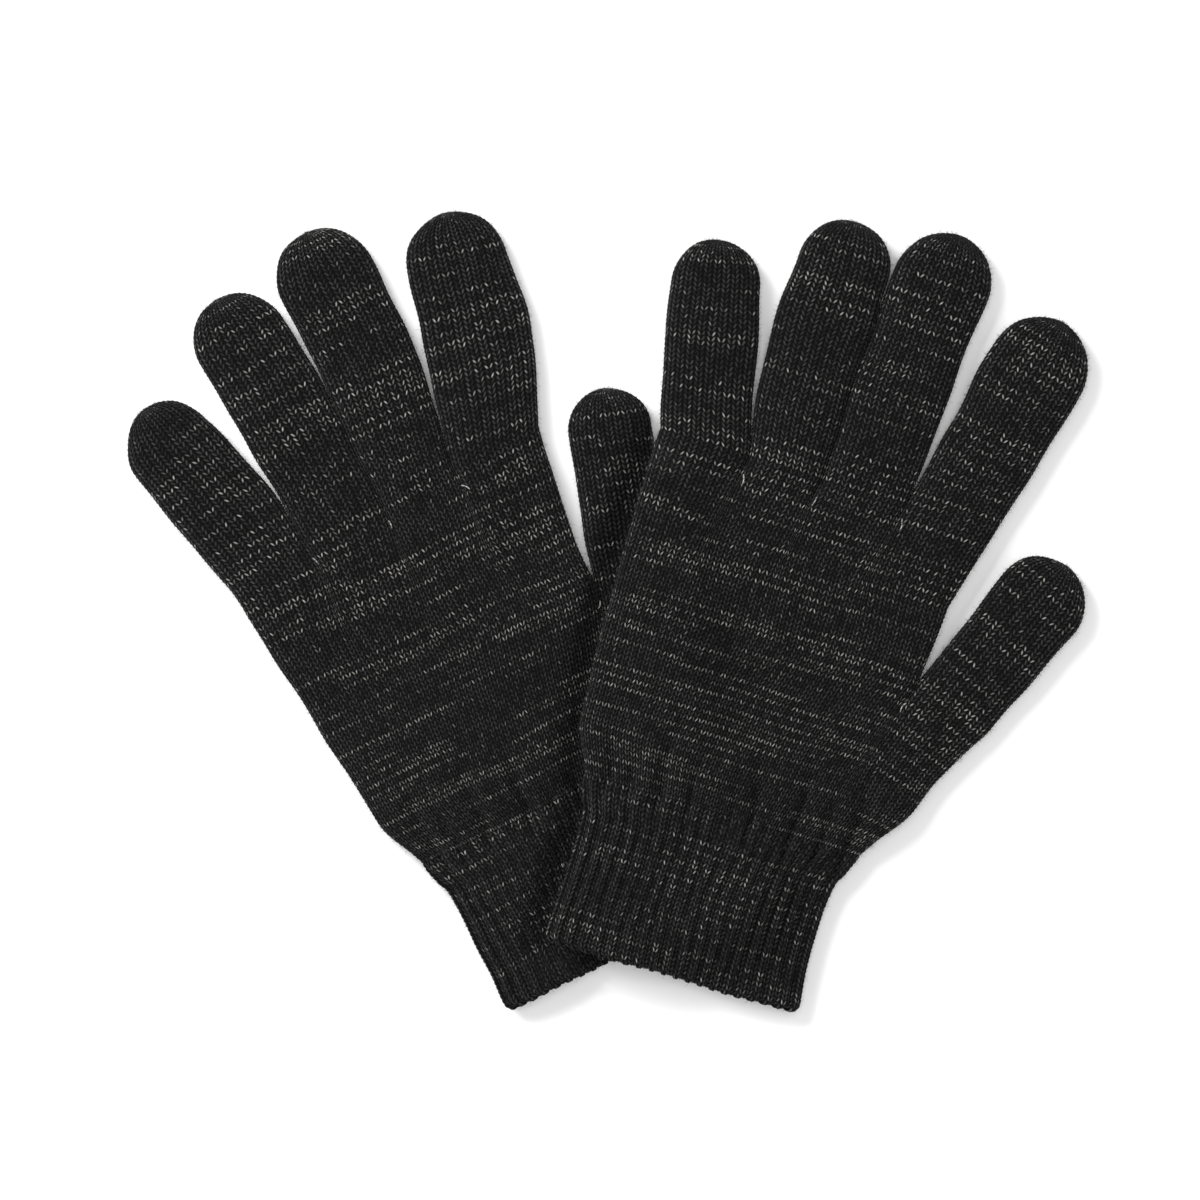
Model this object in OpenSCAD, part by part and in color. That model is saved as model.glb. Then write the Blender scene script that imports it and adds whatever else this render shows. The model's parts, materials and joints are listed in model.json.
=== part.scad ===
// A pair of fine-knit touchscreen gloves, lying flat with one partly over the other.
// Each glove is a set of knitted tubes: cuff, wrist gather, two palm trunks and five
// fingers, each finger folding at its knuckle and at its middle joint.
// Z is up, the gloves lie on z = 0, and the origin is the centre of the pair's footprint.

/* [Knit] */
// Thickness of an empty glove lying flat
flat_t = 9.6; // [9.2:0.1:9.8]
// Thickness of the knitted wall
knit_t = 1.8; // [1.4:0.1:1.9]
// Depth of the doubled wall at the overlocked cuff edge
hem_t = 2.2; // [2:0.1:2.4]

/* [Cuff] */
// Width of the relaxed ribbed cuff
cuff_w = 74.4; // [70:0.2:76]
// Height of the overlocked edge
hem_h = 2.4; // [2:0.2:4]
// Height from the cuff's edge to the start of the wrist gather
cuff_h = 41.4; // [38:0.2:42]
// Length of the gathered band between cuff and palm
gather_l = 7.2; // [7:0.1:8]
// Number of elastic threads laid inside the cuff
elastic_count = 4; // [2:1:5]
// Height of the first elastic thread, and the spacing of the others
elastic_step = 7.5; // [6:0.5:7.5]
// Width of an elastic thread
elastic_w = 1.4; // [1:0.1:2]
// Depth of an elastic thread
elastic_t = 0.6; // [0.4:0.1:0.6]

/* [Overlap] */
// Gap between the glove beneath and the one that lies over it
lay_gap = 0.7; // [0.4:0.1:0.8]
// Lean of the line along which the upper glove comes down to the table
crest_lean = 10; // [8:1:12]
// Distance of that line from the origin
crest_at = 27.2; // [27:0.1:28]
// Width of the slope down to the table
slope_w = 18; // [16:1:20]
// Length over which the raised edge comes down before the knuckles
settle_l = 14; // [12:1:15]

/* [Hidden] */

knit_colour = [0.07, 0.07, 0.07];
rib_colour = [0.09, 0.09, 0.09];
fold_colour = [0.13, 0.13, 0.13];
elastic_colour = [0.55, 0.55, 0.52];

mid_z = flat_t / 2;
// A fold leaves half a thickness and a little more between the two tubes that meet there
fold_gap = mid_z + 0.4;
lift = flat_t + lay_gap;
arc_steps = 4;
// Points along each flat face of a trunk's section, and of the five-finger trunk's
trunk_flats = 7;
fan_flats = 13;
// Clearance between the cuff's inner face and an elastic thread
elastic_gap = 0.15;
cuff_top = cuff_h + gather_l;
// Half the palm's width where it meets the gather, and how far its little-finger side
// swells beyond a straight line
wrist_half = 40.5;
palm_swell = 2;

// A glove: [x, y, turn] of its cuff-edge centre, raised or not, knuckle line, thumb line,
// left edge and right edge of the four-finger trunk as [x, y] points, from the thumb line
// up to the knuckles, and the lean of its thumb
left_glove = [
    [5.3, -97.7, 26], false, 146, 99.4,
    [[-50.6, 99.4], [-52, 112], [-55, 138], [-57, 146]],
    [[38.4, 99.4], [39.6, 120], [43.2, 146]],
    16.2
];
right_glove = [
    [18.1, -103.7, -17], true, 148, 99.4,
    [[-47.8, 99.4], [-48.4, 111], [-48.5, 140], [-48, 148]],
    [[42.3, 99.4], [44, 122], [51.6, 148]],
    22.4
];

// A finger in its glove: [left root x, right root x, root y, tip x, tip y, tip radius,
// middle joint y]; a thumb's are measured from its own root, along its own lean
left_little = [-57.0, -31.2, 146, -53.0, 186.6, 12.8, 171];
left_ring = [-30.0, -7.1, 146, -21.7, 205.3, 13.2, 181];
left_middle = [-5.9, 15.6, 146, 7.7, 210.9, 13.9, 184];
left_index = [16.8, 43.2, 146, 43.2, 198.4, 14.2, 178];
left_thumb = [-11.6, 11.6, 0, 0, 40.2, 11.6, 20];
right_little = [-48.0, -22.8, 148, -45.2, 191.8, 12.8, 175];
right_ring = [-21.6, -0.8, 148, -12.0, 207.0, 13.2, 183];
right_middle = [0.4, 24.1, 148, 15.9, 211.1, 13.9, 186];
right_index = [25.3, 51.6, 148, 49.4, 196.3, 14.2, 179];
right_thumb = [-12.2, 12.2, 0, 0, 40.3, 13.1, 20];

function smooth(t) = let (c = min(1, max(0, t))) c * c * (3 - 2 * c);
function mix(a, b, t) = a + (b - a) * t;

// Value at y on an edge line of [x, y] points
function edge_at(edge, y, i = 0) =
    i >= len(edge) - 2 || y <= edge[i + 1][1]
        ? mix(edge[i][0], edge[i + 1][0], (y - edge[i][1]) / (edge[i + 1][1] - edge[i][1]))
        : edge_at(edge, y, i + 1);

// Height that the glove beneath gives a point [x, y] of the raised glove
function raised(glove, p) =
    let (
        place = glove[0],
        row_x = place[0] + p[0] * cos(place[2]) - p[1] * sin(place[2]),
        row_y = place[1] + p[0] * sin(place[2]) + p[1] * cos(place[2]),
        across = row_x * cos(crest_lean) + row_y * sin(crest_lean),
        down = smooth((crest_at + slope_w - across) / slope_w),
        settle = smooth((glove[2] - p[1]) / settle_l)
    )
    glove[1] ? lift * down * settle : 0;

// Thickness left near a rounded end, at a distance from that end
function end_half(half, d) = d >= half ? half : sqrt(half * half - pow(half - max(d, 0.05), 2));

// Points [across, up] round a flattened tube: flat faces, with rounded sides
function section(x0, x1, half, flats) =
    let (side = min(half, (x1 - x0) / 2 - 0.02))
    concat(
        [for (i = [0:arc_steps]) let (a = -90 + 180 * i / arc_steps)
            [x1 - side + side * cos(a), half * sin(a)]],
        [for (i = [1:1:flats]) [mix(x1 - side, x0 + side, i / (flats + 1)), half]],
        [for (i = [0:arc_steps]) let (a = 90 + 180 * i / arc_steps)
            [x0 + side + side * cos(a), half * sin(a)]],
        [for (i = [1:1:flats]) [mix(x0 + side, x1 - side, i / (flats + 1)), -half]]
    );

// One ring of a flattened tube, square across the glove at height y
function ring(glove, x0, x1, y, half, flats) =
    [for (q = section(x0, x1, half, flats))
        [q[0], y, mid_z + q[1] + raised(glove, [q[0], y])]];

// Skin over a list of rings, each with the same number of points; a loop joins its last
// ring to its first, and any other skin is closed by a flat face at each end
module skin(rings, loop) {
    n = len(rings[0]);
    m = len(rings);
    bands = loop ? m : m - 1;
    sides = [for (k = [0:bands - 1]) for (i = [0:n - 1])
        let (a = k * n + i, b = k * n + (i + 1) % n,
             c = ((k + 1) % m) * n + (i + 1) % n, d = ((k + 1) % m) * n + i)
        each [[a, b, c], [a, c, d]]];
    ends = loop ? [] : [
        [for (i = [n - 1:-1:0]) i],
        [for (i = [0:n - 1]) (m - 1) * n + i]
    ];
    polyhedron(points = [for (r = rings) each r], faces = concat(sides, ends));
}

module placed(glove) {
    translate([glove[0][0], glove[0][1], 0])
        rotate([0, 0, glove[0][2]])
            children();
}

// Trunk and cuff rings between two heights, with edge lines and a depth below the surface
function trunk_rings(glove, left, right, ys, depth) =
    [for (y = ys) ring(glove, edge_at(left, y) + depth, edge_at(right, y) - depth, y,
        mid_z - depth, trunk_flats)];

function backwards(list) = [for (i = [len(list) - 1:-1:0]) list[i]];

// Open tube between two edge lines: the outer face up, then the inner face down
module trunk(glove, left, right, ys, outer = 0, wall = knit_t) {
    skin(concat(
        trunk_rings(glove, left, right, ys, outer),
        backwards(trunk_rings(glove, left, right, ys, outer + wall))
    ), true);
}

// Rings of a finger tube between y0 and y1, straight to the tip's centre and then round
function finger_rings(glove, f, ys, depth) =
    let (root_y = f[2], tip_x = f[3], tip_y = f[4], r = f[5] - depth, end = tip_y + r)
    [for (y = ys)
        let (
            t = min(1, (y - root_y) / (tip_y - root_y)),
            straight = y <= tip_y,
            half_w = sqrt(max(0.01, r * r - pow(max(0, y - tip_y), 2))),
            x0 = straight ? mix(f[0] + depth, tip_x - r, t) : tip_x - half_w,
            x1 = straight ? mix(f[1] - depth, tip_x + r, t) : tip_x + half_w
        )
        ring(glove, x0, x1, y, end_half(mid_z - depth, end - y), 0)];

// Heights of the rings over a round fingertip, from its first to its last
function tip_heights(f, y0, depth) =
    let (r = f[5] - depth)
    concat([y0], [for (a = [0, 25, 45, 60, 72, 82]) f[4] + r * sin(a)], [f[4] + r - 0.05]);

module finger_tube(glove, f, y0, y1) {
    skin(concat(
        finger_rings(glove, f, [y0, y1], 0),
        backwards(finger_rings(glove, f, [y0, y1], knit_t))
    ), true);
}

module finger_cap(glove, f, y0) {
    skin(concat(
        backwards(finger_rings(glove, f, tip_heights(f, y0, knit_t), knit_t)),
        finger_rings(glove, f, tip_heights(f, y0, 0), 0)
    ), false);
}

// A flat copy of a glove, for the fingers, which all lie on the table
function lying(glove) = [glove[0], false, glove[2]];

// Centre of the thumb's root, half its width from the crotch along the root line
function thumb_root(glove, thumb) =
    let (crotch = glove[5][0])
    [crotch[0] + thumb[1] * cos(glove[6]), crotch[1] - thumb[1] * sin(glove[6])];

module finger_place(glove, f) {
    is_thumb = f[2] == 0;
    root = is_thumb ? thumb_root(glove, f) : [0, 0];
    placed(glove)
        translate([root[0], root[1], 0])
            rotate([0, 0, is_thumb ? -glove[6] : 0])
                children();
}

module knuckle(glove, f) {
    color(fold_colour)
        finger_place(glove, f)
            finger_tube(lying(glove), f, f[2], f[2] + fold_gap);
}

module base(glove, f) {
    color(knit_colour)
        finger_place(glove, f)
            finger_tube(lying(glove), f, f[2] + fold_gap, f[6]);
}

module joint(glove, f) {
    color(fold_colour)
        finger_place(glove, f)
            finger_tube(lying(glove), f, f[6], f[6] + fold_gap);
}

module tip(glove, f) {
    color(knit_colour)
        finger_place(glove, f)
            finger_cap(lying(glove), f, f[6] + fold_gap);
}

module finger_trunk(glove) {
    span = glove[2] - glove[3];
    color(knit_colour)
        placed(glove)
            trunk(glove, glove[4], glove[5],
                [for (s = [0, 0.24, 0.48, 0.66, 0.8, 0.9, 1]) glove[3] + span * s]);
}

// Point of the five-finger trunk at a share v of its height and a share s of its width. Its
// top row runs along the thumb line to the crotch, and then down along the thumb's root.
function fan_point(glove, thumb, v, s) =
    let (
        palm = glove[5][0][0] - glove[4][0][0],
        run = s * (palm + 2 * thumb[1]),
        past = max(0, run - palm),
        top = [glove[4][0][0] + min(run, palm) + past * cos(glove[6]),
            glove[3] - past * sin(glove[6])],
        low = [mix(-wrist_half, wrist_half, s), cuff_top],
        swell = palm_swell * sin(180 * v) * (1 - s)
    )
    [mix(low[0], top[0], v) - swell, mix(low[1], top[1], v)];

// One ring of the five-finger trunk at a share v of its height
function fan_ring(glove, thumb, v, depth) =
    let (
        width = mix(2 * wrist_half, glove[5][0][0] - glove[4][0][0] + 2 * thumb[1], v)
    )
    [for (q = section(depth, width - depth, mid_z - depth, fan_flats))
        let (p = fan_point(glove, thumb, v, q[0] / width))
        [p[0], p[1], mid_z + q[1] + raised(glove, p)]];

// The trunk below the thumb line, open to the four-finger trunk and to the thumb
module thumb_trunk(glove, thumb) {
    shares = [for (i = [0:7]) i / 7];
    color(knit_colour)
        placed(glove)
            skin(concat(
                [for (v = shares) fan_ring(glove, thumb, v, 0)],
                backwards([for (v = shares) fan_ring(glove, thumb, v, knit_t)])
            ), true);
}

function cuff_left() = [[-cuff_w / 2, 0], [-cuff_w / 2, cuff_h]];
function cuff_right() = [[cuff_w / 2, 0], [cuff_w / 2, cuff_h]];

module wrist_gather(glove) {
    left = [[-cuff_w / 2, cuff_h], [-wrist_half, cuff_top]];
    right = [[cuff_w / 2, cuff_h], [wrist_half, cuff_top]];
    color(fold_colour)
        placed(glove)
            trunk(glove, left, right, [cuff_h, cuff_h + gather_l / 2, cuff_top]);
}

// Cuff tube, with a ring at each edge of every elastic thread
module cuff(glove) {
    edges = [for (i = [1:elastic_count]) for (w = [0, elastic_w]) elastic_step * i + w];
    color(rib_colour)
        placed(glove)
            trunk(glove, cuff_left(), cuff_right(), concat([hem_h], edges, [cuff_h]));
}

module cuff_hem(glove) {
    color(rib_colour)
        placed(glove)
            trunk(glove, cuff_left(), cuff_right(), [0, hem_h], 0, hem_t);
}

module cuff_elastic(glove) {
    color(elastic_colour)
        placed(glove)
            for (i = [1:elastic_count]) {
                y = elastic_step * i;
                trunk(glove, cuff_left(), cuff_right(), [y, y + elastic_w],
                    knit_t + elastic_gap, elastic_t);
            }
}

finger_trunk(left_glove);  // left_finger_trunk
thumb_trunk(left_glove, left_thumb);  // left_thumb_trunk
wrist_gather(left_glove);  // left_wrist_gather
cuff(left_glove);  // left_cuff
cuff_hem(left_glove);  // left_cuff_hem
cuff_elastic(left_glove);  // left_cuff_elastic
knuckle(left_glove, left_little);  // left_little_knuckle
base(left_glove, left_little);  // left_little_base
joint(left_glove, left_little);  // left_little_joint
tip(left_glove, left_little);  // left_little_tip
knuckle(left_glove, left_ring);  // left_ring_knuckle
base(left_glove, left_ring);  // left_ring_base
joint(left_glove, left_ring);  // left_ring_joint
tip(left_glove, left_ring);  // left_ring_tip
knuckle(left_glove, left_middle);  // left_middle_knuckle
base(left_glove, left_middle);  // left_middle_base
joint(left_glove, left_middle);  // left_middle_joint
tip(left_glove, left_middle);  // left_middle_tip
knuckle(left_glove, left_index);  // left_index_knuckle
base(left_glove, left_index);  // left_index_base
joint(left_glove, left_index);  // left_index_joint
tip(left_glove, left_index);  // left_index_tip
knuckle(left_glove, left_thumb);  // left_thumb_knuckle
base(left_glove, left_thumb);  // left_thumb_base
joint(left_glove, left_thumb);  // left_thumb_joint
tip(left_glove, left_thumb);  // left_thumb_tip
finger_trunk(right_glove);  // right_finger_trunk
thumb_trunk(right_glove, right_thumb);  // right_thumb_trunk
wrist_gather(right_glove);  // right_wrist_gather
cuff(right_glove);  // right_cuff
cuff_hem(right_glove);  // right_cuff_hem
cuff_elastic(right_glove);  // right_cuff_elastic
knuckle(right_glove, right_little);  // right_little_knuckle
base(right_glove, right_little);  // right_little_base
joint(right_glove, right_little);  // right_little_joint
tip(right_glove, right_little);  // right_little_tip
knuckle(right_glove, right_ring);  // right_ring_knuckle
base(right_glove, right_ring);  // right_ring_base
joint(right_glove, right_ring);  // right_ring_joint
tip(right_glove, right_ring);  // right_ring_tip
knuckle(right_glove, right_middle);  // right_middle_knuckle
base(right_glove, right_middle);  // right_middle_base
joint(right_glove, right_middle);  // right_middle_joint
tip(right_glove, right_middle);  // right_middle_tip
knuckle(right_glove, right_index);  // right_index_knuckle
base(right_glove, right_index);  // right_index_base
joint(right_glove, right_index);  // right_index_joint
tip(right_glove, right_index);  // right_index_tip
knuckle(right_glove, right_thumb);  // right_thumb_knuckle
base(right_glove, right_thumb);  // right_thumb_base
joint(right_glove, right_thumb);  // right_thumb_joint
tip(right_glove, right_thumb);  // right_thumb_tip
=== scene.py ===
import json
import math

import bpy
import numpy as np
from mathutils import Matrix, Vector


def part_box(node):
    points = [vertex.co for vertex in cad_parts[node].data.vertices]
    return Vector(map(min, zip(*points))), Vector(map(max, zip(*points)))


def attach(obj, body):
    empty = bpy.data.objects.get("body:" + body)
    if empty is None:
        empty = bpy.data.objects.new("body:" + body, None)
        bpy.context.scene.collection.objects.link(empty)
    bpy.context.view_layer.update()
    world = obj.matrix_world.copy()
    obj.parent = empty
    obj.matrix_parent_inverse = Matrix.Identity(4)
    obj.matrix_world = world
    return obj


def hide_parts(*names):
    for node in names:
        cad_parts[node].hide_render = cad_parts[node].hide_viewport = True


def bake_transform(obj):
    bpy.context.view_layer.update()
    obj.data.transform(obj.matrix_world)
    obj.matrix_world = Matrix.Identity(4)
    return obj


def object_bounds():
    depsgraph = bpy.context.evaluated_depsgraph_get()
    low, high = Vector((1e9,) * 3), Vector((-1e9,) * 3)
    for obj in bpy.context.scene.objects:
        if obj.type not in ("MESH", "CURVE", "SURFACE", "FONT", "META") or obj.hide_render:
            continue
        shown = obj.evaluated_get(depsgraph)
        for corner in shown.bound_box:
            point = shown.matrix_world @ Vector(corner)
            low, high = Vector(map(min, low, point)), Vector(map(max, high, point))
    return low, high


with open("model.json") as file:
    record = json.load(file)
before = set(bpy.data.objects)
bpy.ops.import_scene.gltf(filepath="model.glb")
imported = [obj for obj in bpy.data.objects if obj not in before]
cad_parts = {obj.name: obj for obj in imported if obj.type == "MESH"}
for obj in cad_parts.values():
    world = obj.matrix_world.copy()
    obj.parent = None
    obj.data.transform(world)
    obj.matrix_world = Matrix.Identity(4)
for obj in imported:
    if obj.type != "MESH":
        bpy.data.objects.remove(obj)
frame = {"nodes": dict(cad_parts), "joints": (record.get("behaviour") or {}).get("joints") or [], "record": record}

# A pair of fine-knit touchscreen gloves. Every tube of a glove is a grid whose columns are
# wales and whose rows are courses, so the stitches are real relief on the mesh.

MM = 0.001
CAD_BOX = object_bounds()
SIDES = ("left", "right")
FINGERS = ("little", "ring", "middle", "index")

# The knit, in millimetres: height of a course, width of a wale on the palm and on the cuff,
# and grid steps to each. Then the depth of a stitch and of a rib, the thickness of the
# cuff's wall, and the share of grid points that carry a loose fibre
COURSE = 1.42
WALE = 2.34
RIB_WALE = 1.85
PER_WALE = 8
PER_COURSE = 4
RELIEF = 0.36
RIB_DEPTH = 0.6
WALL = 1.5
FUZZ_SHARE = 0.04

# A stitch's two legs: how far out they start, how far they spread on their way up, both as
# a share of a wale, and the part of their height that lies below the tube's surface
LEG_START = 0.12
LEG_SPREAD = 0.24
LEG_SUNK = 0.4

# How far each finger bows out: above zero on its right side, below zero on its left
BOW = {
    "left": {"little": 1.8, "ring": 1.0, "middle": 2.6, "index": 3.2, "thumb": 0.8},
    "right": {"little": -0.8, "ring": -2.4, "middle": -0.3, "index": -0.2},
}

# How much further each thumb is pulled out than its plain tube
THUMB_REACH = {"left": 2.0, "right": 0.0}

# Shape of a flattened tube: how square its upper and lower faces are, how high its side
# folds lie as a share of the thickness, how far it stays inside the CAD surface so that the
# relief has room, how much its upper half rises and falls, and the hem's rounded corners
FINGER_CROWN = 2.5
FINGER_BED = 4.0
PALM_CROWN = 4.2
FOLD_LEVEL = 0.42
SKIN = 0.3
SWELL = 0.7
HEM_CORNER = 3.0

# A fingertip: the arc its rows go round before the cap, and how far from the cap its
# thickness starts to round off
TIP_ARC = math.radians(88.0)
TIP_RIM = 7.0

# The gathers reach their full depth at 1 / GATHER_RISE of the height of a tube's upper half
GATHER_RISE = 1.6

# The cuff: how far its knit runs up past the palm's lower edge, the height of its rolled
# hem, and how far it goes on up the inside. An elastic thread: half its height and half its
# thickness, and how far it lies inside the wall
CUFF_LAP = 1.2
HEM_RISE = 1.2
INSIDE_RISE = 34.0
ELASTIC_HALF = (0.7, 0.3)
ELASTIC_INSET = 0.75

# Where one glove lies on the other: how far outside the left glove the right one is still
# fully raised, how far it takes to come down, and how far before its knuckles it starts to
# come down anyway. Then the depth of the valley it presses into the left one, the valley's
# distance from its edge, and the valley's width
DRAPE_FLAT = 1.5
DRAPE_REACH = 17.0
DRAPE_END = 14.0
VALLEY = 6.5
VALLEY_PLACE = 2.0
VALLEY_WIDTH = 4.0

# Spans of the knit that are handed on but bend nothing: how far past a finger's root, how far before and after its
# middle joint, and how far down into the cuff below the gathered band
ROOT_FOLD = 11.5
MIDDLE_FOLD = (2.0, 11.0)
CUFF_FOLD = 4.0

# How far inside a CAD piece's end it is cut to read its width, for a single cut and for
# the outermost of many
EDGE_STEP = 0.05
EDGE_INSET = 0.02

# The camera, in metres: width of its view on the table, the view's centre, and its height
VIEW_WIDTH = 0.342
VIEW_CENTRE = (-0.0021, 0.0032)
CAMERA_HEIGHT = 1.6


def smooth(t):
    t = np.clip(t, 0.0, 1.0)
    return t * t * (3.0 - 2.0 * t)


def mix(a, b, t):
    return a + (b - a) * t


# ---------------------------------------------------------------- camera, light and floor

def make_camera():
    data = bpy.data.cameras.new("camera")
    data.type = "PERSP"
    data.sensor_width = 36.0
    data.lens = 36.0 * CAMERA_HEIGHT / VIEW_WIDTH
    data.clip_end = 20.0
    camera = bpy.data.objects.new("camera", data)
    camera.location = (VIEW_CENTRE[0], VIEW_CENTRE[1], CAMERA_HEIGHT)
    bpy.context.scene.collection.objects.link(camera)
    bpy.context.scene.camera = camera


def make_light():
    world = bpy.data.worlds.new("studio")
    bpy.context.scene.world = world
    world.use_nodes = True
    world.node_tree.nodes["Background"].inputs["Color"].default_value = (1, 1, 1, 1)
    world.node_tree.nodes["Background"].inputs["Strength"].default_value = 0.5
    for name, place, size, power in (
        ("overhead", (0.0, 0.1, 2.4), 1.2, 22.0),
        ("key", (-0.75, 0.7, 0.9), 0.6, 20.0),
        ("fill", (0.7, -0.4, 1.2), 1.0, 3.0),
    ):
        data = bpy.data.lights.new(name, "AREA")
        data.shape = "SQUARE"
        data.size = size
        data.energy = power
        light = bpy.data.objects.new(name, data)
        light.location = place
        light.rotation_mode = "QUATERNION"
        light.rotation_quaternion = (-Vector(place)).to_track_quat("-Z", "Y")
        bpy.context.scene.collection.objects.link(light)


def make_floor():
    bpy.ops.mesh.primitive_plane_add(size=6.0, location=(0, 0, -0.0002))
    floor = bpy.context.object
    floor.name = "floor"
    material = bpy.data.materials.new("floor_paper")
    material.use_nodes = True
    shader = material.node_tree.nodes["Principled BSDF"]
    shader.inputs["Base Color"].default_value = (0.9, 0.9, 0.9, 1)
    shader.inputs["Roughness"].default_value = 0.9
    shader.inputs["Specular IOR Level"].default_value = 0.0
    floor.data.materials.append(material)


# ---------------------------------------------------------------- reading the frame

class Glove:
    """One glove's own frame: across points to the thumb, along to the fingertips."""

    def __init__(self, side):
        self.side = side
        mount = next(
            m for m in frame["record"]["mounts"] if m["name"] == side + "_wrist_opening"
        )
        self.origin = np.array(mount["pos_m"][:2]) / MM
        self.along = -np.array(mount["axis"][:2])
        self.across = np.array([self.along[1], -self.along[0]])
        self.seed = 3.0 if side == "left" else 11.0
        self.local = {}
        self.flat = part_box("left_cuff")[1].z / MM
        self.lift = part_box("right_cuff")[1].z / MM - self.flat
        self.fold = FOLD_LEVEL * self.flat
        self.crown = self.flat - self.fold - SKIN
        self.bed = self.fold - SKIN
        self.knuckles = self.mesh("little_knuckle")[0][:, 1].min()
        self.thumb_line = self.mesh("finger_trunk")[0][:, 1].min()
        self.cuff_top = self.mesh("wrist_gather")[0][:, 1].max()
        self.cuff_end = self.mesh("wrist_gather")[0][:, 1].min()
        self.crotch = np.array(
            [self.cut("finger_trunk", self.thumb_line + EDGE_STEP)[1], self.thumb_line]
        )

    def to_local(self, points):
        flat = np.asarray(points)[..., :2] - self.origin
        return np.stack(
            [flat @ self.across, flat @ self.along, np.asarray(points)[..., 2]], axis=-1
        )

    def to_row(self, points):
        flat = points[..., :1] * self.across + points[..., 1:2] * self.along + self.origin
        return np.concatenate([flat, points[..., 2:3]], axis=-1)

    def mesh(self, node):
        """A CAD node's points, in this glove's frame in millimetres, and its edges."""
        if node not in self.local:
            data = frame["nodes"][f"{self.side}_{node}"].data
            co = np.empty(len(data.vertices) * 3)
            data.vertices.foreach_get("co", co)
            edges = np.empty(len(data.edges) * 2, int)
            data.edges.foreach_get("vertices", edges)
            self.local[node] = (self.to_local(co.reshape(-1, 3) / MM), edges.reshape(-1, 2))
        return self.local[node]

    def cut(self, node, height):
        """Left and right edge of a CAD node where a line across the glove meets it."""
        points, edges = self.mesh(node)
        a, b = points[edges[:, 0]], points[edges[:, 1]]
        crossing = (a[:, 1] - height) * (b[:, 1] - height) <= 0
        a, b = a[crossing], b[crossing]
        share = (height - a[:, 1]) / np.where(a[:, 1] == b[:, 1], 1.0, b[:, 1] - a[:, 1])
        x = a[:, 0] + share * (b[:, 0] - a[:, 0])
        return x.min(), x.max()

    def edges(self, node, heights):
        """Left and right edges of a CAD node at many heights."""
        points = self.mesh(node)[0]
        low, high = points[:, 1].min() + EDGE_INSET, points[:, 1].max() - EDGE_INSET
        return np.array([self.cut(node, min(max(h, low), high)) for h in heights]).T

    def wrist_outline(self, heights):
        """Left and right edge of cuff, gather and lower palm at many heights."""
        left, right = self.edges("cuff", [self.cuff_end - 1.0])[:, 0]
        low_left, low_right = self.cut("thumb_trunk", self.cuff_top + EDGE_STEP)
        top = self.cut("finger_trunk", self.thumb_line + EDGE_STEP)[0]
        corner = self.thumb_corner()
        ys = [0.0, self.cuff_end, self.cuff_top]
        return (
            np.interp(heights, ys + [self.thumb_line], [left, left, low_left, top]),
            np.interp(heights, ys + [corner[1]], [right, right, low_right, corner[0]]),
        )

    def thumb_corner(self):
        """The outer end of the thumb's root line."""
        root, _ = self.joint("thumb_knuckle_bend")
        return 2.0 * root - self.crotch

    def joint(self, name):
        """A joint's place and its axis across the tube, in this glove's frame."""
        joint = next(j for j in frame["joints"] if j["name"] == f"{self.side}_{name}")
        place = self.to_local(np.array(joint["pos_m"]) / MM)
        axis = np.array(joint["axis"][:2])
        axis = np.array([axis @ self.across, axis @ self.along])
        return place[:2], axis * np.sign(axis[0])


# ---------------------------------------------------------------- tubes of knit

def half_ring(width, height, n, power):
    """n + 1 points over a flattened tube, evenly spaced from its left fold to its right."""
    t = np.linspace(math.pi, 0.0, 361)
    x = np.sign(np.cos(t)) * np.abs(np.cos(t)) ** (2.0 / power) * width / 2.0
    z = np.clip(np.sin(t), 0.0, 1.0) ** (2.0 / power) * height
    s = np.concatenate([[0.0], np.cumsum(np.hypot(np.diff(x), np.diff(z)))])
    pick = np.linspace(0.0, s[-1], n + 1)
    return np.interp(pick, s, x), np.interp(pick, s, z)


def wobble(x, y, seed):
    """Slow rise and fall of loose knit, in millimetres, about -1 to 1."""
    total = np.zeros(np.broadcast(x, y).shape)
    rng = np.random.default_rng(int(seed * 10))
    for size, share in ((46.0, 0.5), (27.0, 0.32), (15.0, 0.18)):
        for _ in range(3):
            angle = rng.uniform(0.0, math.pi)
            phase = rng.uniform(0.0, 2.0 * math.pi)
            reach = size * rng.uniform(0.8, 1.25)
            wave = (x * math.cos(angle) + y * math.sin(angle)) / reach * 2.0 * math.pi
            total = total + share * np.sin(wave + phase) / 1.7
    return total


def stitch_relief(wale, course):
    """Height of the two slanted legs of each stitch, from 0 to 1."""
    a = wale - np.floor(wale)
    b = course - np.floor(course)
    leg = np.abs(np.abs(a - 0.5) - (LEG_START + LEG_SPREAD * b))
    return np.exp(-((leg / 0.14) ** 2)) * (0.6 + 0.4 * np.sin(math.pi * b))


def rib_relief(wale):
    """Raised wales with sunk ones between them, from -1 to 1."""
    ridge = np.cos(math.pi * (wale - 0.5))
    return np.sign(ridge) * np.abs(ridge) ** 0.7


def warp(glove, points):
    """Small drifts of the fabric within its own plane, shared by every tube of a glove."""
    x, y = points[..., 0].copy(), points[..., 1].copy()
    points[..., 0] += 0.5 * wobble(x, y, glove.seed + 1.0)
    points[..., 1] += 0.5 * wobble(x, y, glove.seed + 2.0)


def grid_normals(points):
    """Normals of a tube's grid, which is closed round each row."""
    di = np.roll(points, -1, axis=1) - np.roll(points, 1, axis=1)
    dj = np.gradient(points, axis=0)
    n = np.cross(di, dj)
    return n / np.maximum(np.linalg.norm(n, axis=-1, keepdims=True), 1e-9)


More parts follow.
